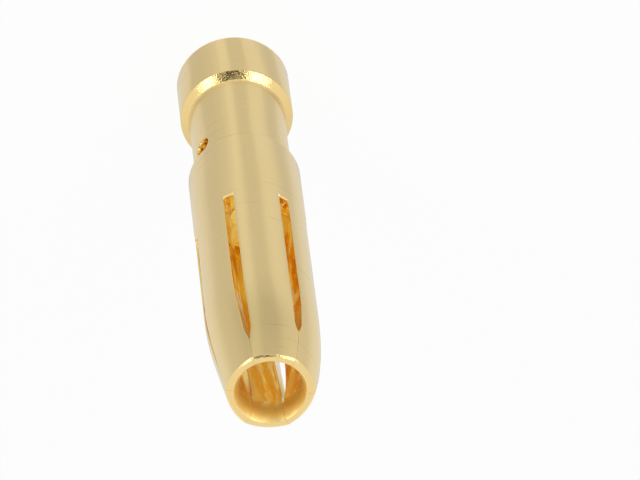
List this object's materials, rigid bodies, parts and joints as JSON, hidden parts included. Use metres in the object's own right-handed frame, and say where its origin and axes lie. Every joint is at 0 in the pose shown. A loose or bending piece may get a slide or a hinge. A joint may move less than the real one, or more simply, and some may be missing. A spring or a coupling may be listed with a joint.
{
  "type": "crimp socket contact",
  "caption": "Slim turned round contact with a drilled crimp collar and neck at the rear and spring tines closed at the mouth, joining a wire to a round pin.",
  "frame": {"origin": "centre of the rear face of the crimp collar, on the axis", "axes": "+Z along the axis from the crimp end to the mouth; the first slot is 48 degrees round from +X"},
  "size_m": [0.0058, 0.0058, 0.0289],
  "materials": {
    "gold": "satin gold plating over a turned copper alloy"
  },
  "bodies": {
    "root": {"socket_contact": "gold"}
  },
  "joints": []
}
